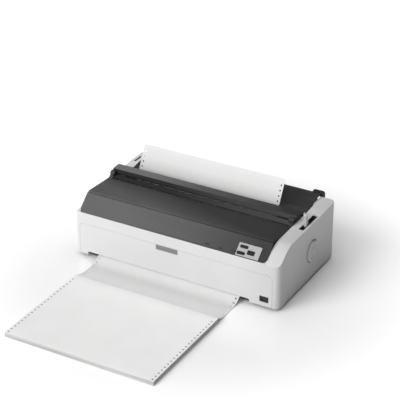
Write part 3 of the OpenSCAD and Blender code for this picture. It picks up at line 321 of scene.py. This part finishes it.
M = {
    # case_white is painted darker towards +x, down to the right side wall: painted shade
    "case_white": moulded("case_white", (0.65, 0.65, 0.655), 0.50, grain=1100, bump=0.10, vary=0.02, spec=0.30,
                          painted_light=[((1, 0, 0), ((-0.25, 1.03), (0.15, 0.98), (0.268, 0.82)))]),
    # panel_grey is painted lighter towards -x: a painted sheen
    "panel_grey": moulded("panel_grey", (0.086, 0.086, 0.088), 0.60, grain=1300, bump=0.16, vary=0.04, spec=0.20, wear=0.20,
                          painted_light=[((1, 0, 0), ((-0.15, 1.0), (0.03, 0.80), (0.20, 0.34)))]),
    # smoked is painted lighter towards the front left of the flap: a painted reflection
    "smoked": moulded("smoked", (0.108, 0.106, 0.108), 0.50, grain=700, bump=0.05, vary=0.05, spec=0.16,
                      painted_light=[((1, 3.5, 0), ((-0.44, 1.0), (-0.30, 0.62), (-0.12, 0.30)))]),
    "smoked_rear": rear_mat("smoked_rear", (0.178, 0.172, 0.178)),
    "black_plastic": moulded("black_plastic", (0.019, 0.019, 0.021), 0.50, grain=1200, bump=0.18, vary=0.10, spec=0.35, wear=0.2),
    "grey_plastic": moulded("grey_plastic", (0.38, 0.38, 0.385), 0.45, grain=1000, bump=0.10, vary=0.03, spec=0.3),
    "knob_grey": moulded("knob_grey", (0.50, 0.50, 0.505), 0.50, grain=1100, bump=0.10, vary=0.02, spec=0.3),
    "lever_grey": moulded("lever_grey", (0.46, 0.46, 0.465), 0.45, grain=1100, bump=0.10, vary=0.02, spec=0.3),
    "hole_shadow": paper_mat("hole_shadow", (0.025, 0.025, 0.025), layered=True),
    "label_grey": moulded("label_grey", (0.21, 0.21, 0.215), 0.45, grain=1500, bump=0.08, vary=0.03, spec=0.3),
    "key_rubber": moulded("key_rubber", (0.014, 0.014, 0.016), 0.65, grain=1600, bump=0.2, vary=0.10, spec=0.2),
    "lamp_lens": moulded("lamp_lens", (0.025, 0.030, 0.028), 0.15, grain=500, bump=0.02, vary=0.10, coat=0.5),
    "rubber": moulded("rubber", (0.020, 0.020, 0.021), 0.72, grain=1500, bump=0.3, vary=0.15, wear=0.1),
    "belt_rubber": moulded("belt_rubber", (0.017, 0.017, 0.017), 0.65, grain=1500, bump=0.3, vary=0.15),
    "steel": metal("steel", (0.60, 0.61, 0.63), 0.22, "X"),
    "zinc_sheet": metal("zinc_sheet", (0.62, 0.64, 0.64), 0.38, "Y", brush=0.15, scale=120.0),
    "natural_plastic": moulded("natural_plastic", (0.66, 0.63, 0.55), 0.42, grain=900, bump=0.08, vary=0.04),
    "blue_plastic": moulded("blue_plastic", (0.05, 0.13, 0.30), 0.40, grain=900, bump=0.10, vary=0.06),
    "brass": metal("brass", (0.70, 0.52, 0.25), 0.25, "X"),
    "ribbon_cloth": weave_mat("ribbon_cloth", (0.02, 0.02, 0.024)),
    "board": board_mat("board"),
    # paper carries painted shade: darker in the dip between the pile and the slot (along y) and on the sheet where it
    # rises out of the printer (along z)
    "paper": paper_mat("paper", (0.84, 0.84, 0.835), painted_light=[
        ((0, 1, 0), ((-0.27, 1.0), (-0.18, 0.70), (-0.13, 0.85), (0.0, 1.0))),
        ((0, 0, 1), ((0.10, 1.0), (0.15, 0.50), (0.19, 0.82), (0.213, 0.86)))]),
    "paper_edge": paper_mat("paper_edge", (0.80, 0.80, 0.79), layered=True),
}

slot_of = {s["node"]: s["material_slot"] for s in frame["record"]["subparts"]}


def finish_node(o, material, bevel=0.0004, segs=2, angle=30.0):
    """A better material, softened edges and smooth shading for a CAD node."""
    o.data.materials.clear()
    o.data.materials.append(material)
    for pl in o.data.polygons:
        pl.material_index = 0
    o.data.shade_smooth()
    if bevel:
        w = o.modifiers.new("weld", "WELD"); w.merge_threshold = 0.000004
        b = o.modifiers.new("bevel", "BEVEL")
        b.width = bevel; b.segments = segs; b.limit_method = "ANGLE"; b.angle_limit = math.radians(angle)
        b.use_clamp_overlap = True
        b.miter_outer = "MITER_ARC"
    o.data.set_sharp_from_angle(angle=math.radians(20))


for name, o in N.items():
    finish_node(o, M[{"rear_cover": "smoked_rear", "platen_knob": "knob_grey", "release_lever": "lever_grey"}.get(name, slot_of[name])], bevel=0.0)


# ---------------------------------------------------------------- mesh helpers
def new_mesh(name, verts, faces, material, body, replaces=(), smooth_deg=35.0):
    me = bpy.data.meshes.new(name)
    me.from_pydata([tuple(v) for v in verts], [], [tuple(f) for f in faces])
    me.validate()
    me.update()
    o = bpy.data.objects.new(name, me)
    scene.collection.objects.link(o)
    me.materials.append(material)
    me.shade_smooth()
    me.set_sharp_from_angle(angle=math.radians(smooth_deg))
    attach(o, body)
    if replaces:
        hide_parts(*replaces)
    return o


# ---------------------------------------------------------------- the paper
PITCH, MARGIN = 0.0127, 0.0127
PX0, PX1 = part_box("paper_web")[0].x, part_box("paper_web")[1].x
HOLE = 0.0020


def resample(path, step):
    """Points of a polyline at equal steps from its end, with their lengths."""
    p = [Vector(q) for q in path]
    d = [0.0]
    for a, b in zip(p, p[1:]):
        d.append(d[-1] + (b - a).length)
    return p, d


def at(p, d, u):
    u = min(max(u, 0.0), d[-1])
    for i in range(len(d) - 1):
        if u <= d[i + 1] or i == len(d) - 2:
            t = (u - d[i]) / max(1e-12, d[i + 1] - d[i])
            return p[i].lerp(p[i + 1], t)


def perforated(width0, width1, length, first, place, name, body, replaces, material, thick):
    """A sheet with a row of sprocket holes in each margin. place(x, u) gives a point and its normal."""
    verts, faces = [], []
    index = {}

    def vid(x, u):
        k = (round(x, 7), round(u, 7))
        if k not in index:
            index[k] = len(verts)
            verts.append(k)
        return index[k]
    q = 4
    cells = []
    u = first - PITCH / 2
    while u > 1e-6:
        u -= PITCH
    starts = []
    while u < length - 1e-9:
        starts.append(u)
        u += PITCH
    lefts = [(width0, width0 + MARGIN), (width1 - MARGIN, width1)]
    mids = np.linspace(width0 + MARGIN, width1 - MARGIN, 25)
    for u0 in starts:
        u1 = u0 + PITCH
        us = [u0 + PITCH * i / q for i in range(q + 1)]
        clip = lambda v: min(max(v, 0.0), length)
        whole = u0 >= -1e-9 and u1 <= length + 1e-9
        for i in range(q):
            a, b = clip(us[i]), clip(us[i + 1])
            if b - a < 1e-7:
                continue
            for x0, x1 in zip(mids, mids[1:]):
                faces.append((vid(x0, a), vid(x1, a), vid(x1, b), vid(x0, b)))
            if not whole:
                for xa, xb in lefts:
                    xs = [xa + (xb - xa) * k / q for k in range(q + 1)]
                    for x0, x1 in zip(xs, xs[1:]):
                        faces.append((vid(x0, a), vid(x1, a), vid(x1, b), vid(x0, b)))
        if whole:
            for xa, xb in lefts:
                xs = [xa + (xb - xa) * k / q for k in range(q + 1)]
                ring = [(xs[k], u0) for k in range(q)] + [(xb, us[k]) for k in range(q)] + [(xs[q - k], u1) for k in range(q)] + [(xa, us[q - k]) for k in range(q)]
                cx, cu = (xa + xb) / 2, (u0 + u1) / 2
                inner, mid = [], []
                for k, (x, uu) in enumerate(ring):
                    ang = math.atan2(uu - cu, x - cx)
                    inner.append((cx + HOLE * math.cos(ang), cu + HOLE * math.sin(ang)))
                n = len(ring)
                for k in range(n):
                    r0, r1, i1, i0 = ring[k], ring[(k + 1) % n], inner[(k + 1) % n], inner[k]
                    faces.append((vid(*r0), vid(*r1), vid(*i1), vid(*i0)))
    top, bot = [], []
    for x, uu in verts:
        c, nrm = place(x, uu)
        top.append(c + nrm * thick / 2)
        bot.append(c - nrm * thick / 2)
    n = len(verts)
    allv = top + bot
    allf = list(faces) + [tuple(i + n for i in reversed(f)) for f in faces]
    count = {}
    for f in faces:
        for a, b in zip(f, f[1:] + f[:1]):
            count.setdefault(frozenset((a, b)), []).append((a, b))
    for e, dirs in count.items():
        if len(dirs) == 1:
            a, b = dirs[0]
            allf.append((b, a, a + n, b + n))
    return new_mesh(name, allv, allf, material, body, replaces, 40.0)


# the web's path as (y, z) in millimetres, as in the part's source
PLAT = (22.0, 78.0)
RC = 19.5
web_z = 31.0


def arc(c, r, a0, a1, n):
    return [(c[0] + r * math.cos(math.radians(a0 + (a1 - a0) * i / n)), c[1] + r * math.sin(math.radians(a0 + (a1 - a0) * i / n))) for i in range(n + 1)]


hin = (math.cos(math.radians(115)), math.sin(math.radians(115)))
tang = (PLAT[0] + RC * math.cos(math.radians(205)), PLAT[1] + RC * math.sin(math.radians(205)))
qq = (tang[0] - 5 * hin[0], tang[1] - 5 * hin[1])
bend_r = (qq[1] - web_z) / (1 - math.sin(math.radians(205)))
bend_c = (qq[0] + bend_r * math.cos(math.radians(205)), qq[1] + bend_r * math.sin(math.radians(205)))
off = (PLAT[0] + RC * math.cos(math.radians(151.4)), PLAT[1] + RC * math.sin(math.radians(151.4)))
hout = (math.cos(math.radians(61.4)), math.sin(math.radians(61.4)))
WEB = [(-246.5, 11.85), (-243.9, 11.7), (-240.6, 9.3), (-236.8, 7.5), (-231, 5.8), (-224, 3.7), (-216, 1.9), (-208, 0.9), (-198, 0.5),
       (-188, 0.4), (-180, 0.5), (-172, 1.2), (-165, 2.9), (-158, 6.2), (-152, 9.9), (-148, 12.5), (-145, 14.1), (-142, 15.0), (-139, 16.1), (-135, 18.8),
       (-130, 23.2), (-125, 27.6), (-120, 30.3), (-115, web_z)]
WEB += arc(bend_c, bend_r, -90, 25, 14) + arc(PLAT, RC, 205, 151.4, 8)[1:] + [(off[0] + 146 * hout[0], off[1] + 146 * hout[1])]
# corners of the polyline are rounded a little, so that the sheet bends smoothly
for _ in range(2):
    out = [WEB[0]]
    for a, b in zip(WEB, WEB[1:]):
        L = math.hypot(b[0] - a[0], b[1] - a[1])
        t = min(0.25, 1.2 / max(L, 1e-6))
        out += [(a[0] + (b[0] - a[0]) * t, a[1] + (b[1] - a[1]) * t), (b[0] - (b[0] - a[0]) * t, b[1] - (b[1] - a[1]) * t)]
    out.append(WEB[-1])
    WEB = out
wp, wd = resample([(0, y / 1000, z / 1000) for y, z in WEB], 0)
LEN = wd[-1]
# the hole nearest the free edge is 15 to 17 mm below it
first_u = (LEN - 0.0162) % PITCH


def on_web(x, u):
    e = 0.0004
    c = at(wp, wd, u)
    t = (at(wp, wd, u + e) - at(wp, wd, u - e)).normalized()
    return Vector((x, c.y, c.z)), Vector((0, -t.z, t.y))


web = perforated(PX0, PX1, LEN, first_u, on_web, "paper_web_sheet", "housing", ["paper_web"], M["paper"], 0.0002)

# the folded pile: forms folded to and fro, with a perforated top sheet
P0, P1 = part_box("paper_pile")
SHEET = 0.0004
TOP = P1.z


def pile():
    """Folded forms, one above the other: each is a band round the pile, with rounded fold noses at both ends."""
    verts, faces = [], []
    layers = 28
    h = (P1.z - SHEET - 0.0002) / layers
    band = 0.003
    for k in range(layers):
        z0, z1 = k * h, (k + 0.86) * h
        dx0, dx1 = rnd.uniform(0, 0.0007), rnd.uniform(0, 0.0007)
        f0, f1 = (rnd.uniform(0, 0.0003), rnd.uniform(0.0004, 0.0013))
        if k % 2:
            f0, f1 = f1, f0
        x0, x1 = P0.x + dx0, P1.x - dx1
        y0, y1 = P0.y + f0, P1.y - f1
        zm = (z0 + z1) / 2
        nose = (z1 - z0) * 0.3
        # corners of the ring: nose line, top and bottom edge lines, inner lines
        loops = []
        for inset, z in ((0.0, zm), (nose, z1), (band, z1), (band, z0), (nose, z0)):
            e = inset if inset else 0.0
            loops.append([(x0 + (e if inset == band else 0.0), y0 + e, z), (x1 - (e if inset == band else 0.0), y0 + e, z),
                          (x1 - (e if inset == band else 0.0), y1 - e, z), (x0 + (e if inset == band else 0.0), y1 - e, z)])
        base = len(verts)
        for lp in loops:
            verts += lp
        m = len(loops)
        for i in range(m):
            for j in range(4):
                a, b = base + i * 4 + j, base + i * 4 + (j + 1) % 4
                c, d = base + ((i + 1) % m) * 4 + (j + 1) % 4, base + ((i + 1) % m) * 4 + j
                faces.append((a, b, c, d))
    return verts, faces


pv, pf = pile()
stack = new_mesh("paper_pile_forms", pv, pf, M["paper_edge"], "housing", ["paper_pile"], 30.0)


def core():
    """The middle of the pile under the top form, coloured near black as painted shadow, so the sprocket holes read
    dark.
    """
    i = 0.0026
    x0, x1, y0, y1 = P0.x + i, P1.x - i, P0.y + i, P1.y - i
    z0, z1, c = 0.0006, P1.z - SHEET - 0.0004, 0.0004
    verts = []
    for e, z in ((0.0, z0), (0.0, z1 - c), (c, z1)):
        verts += [(x0 + e, y0 + e, z), (x1 - e, y0 + e, z), (x1 - e, y1 - e, z), (x0 + e, y1 - e, z)]
    faces = [(3, 2, 1, 0), (8, 9, 10, 11)]
    for k in (0, 4):
        faces += [(k + j, k + (j + 1) % 4, k + 4 + (j + 1) % 4, k + 4 + j) for j in range(4)]
    return verts, faces


cv, cf = core()
new_mesh("paper_pile_core", cv, cf, M["hole_shadow"], "housing", ["paper_pile"], 30.0)


def on_pile(x, u):
    # lies flat, with its free corners a hair lower
    y = P0.y + u
    e = min(x - P0.x, P1.x - x, y - P0.y, P1.y - y)
    z = TOP - SHEET / 2 - 0.0006 * math.exp(-max(e, 0) / 0.006) * (1.0 if y < P0.y + 0.02 else 0.5)
    return Vector((x, y, z)), Vector((0, 0, 1))


sheet_top = perforated(P0.x, P1.x, P1.y - P0.y, 0.00635, on_pile, "paper_pile_top", "housing", ["paper_pile"], M["paper"], SHEET)

# ---------------------------------------------------------------- floor
fm, fnt, fnodes, flinks, fp = tree("floor")
fp.inputs["Base Color"].default_value = (0.93, 0.93, 0.93, 1)
fp.inputs["Roughness"].default_value = 0.14
fp.inputs["Specular IOR Level"].default_value = 0.30
# painted light: the floor glows, not at all within 0.26 m of a point by the printer and rising smoothly to 0.30 beyond
# 0.66 m, so it stays darker near the printer and reads white further out
fp.inputs["Emission Color"].default_value = (1, 1, 1, 1)
fp.inputs["Emission Strength"].default_value = 1.0
ftc = fnodes.new("ShaderNodeTexCoord")
fd = fnodes.new("ShaderNodeVectorMath"); fd.operation = "DISTANCE"
flinks.new(ftc.outputs["Object"], fd.inputs[0])
fd.inputs[1].default_value = (0.05, -0.10, 0.0)
fr = fnodes.new("ShaderNodeMapRange"); fr.interpolation_type = "SMOOTHSTEP"
fr.inputs["From Min"].default_value = 0.26; fr.inputs["From Max"].default_value = 0.66
fr.inputs["To Min"].default_value = 0.0; fr.inputs["To Max"].default_value = 0.30
flinks.new(fd.outputs["Value"], fr.inputs["Value"])
fc = fnodes.new("ShaderNodeCombineColor")
for ch in ("Red", "Green", "Blue"):
    flinks.new(fr.outputs["Result"], fc.inputs[ch])
flinks.new(fc.outputs["Color"], fp.inputs["Emission Color"])
floor_me = bpy.data.meshes.new("floor")
floor_me.from_pydata([(-12, -12, 0), (12, -12, 0), (12, 30, 0), (-12, 30, 0)], [], [(0, 1, 2, 3)])
floor_me.materials.append(fm)
floor = bpy.data.objects.new("floor", floor_me)
scene.collection.objects.link(floor)
floor.location.z = -0.0002
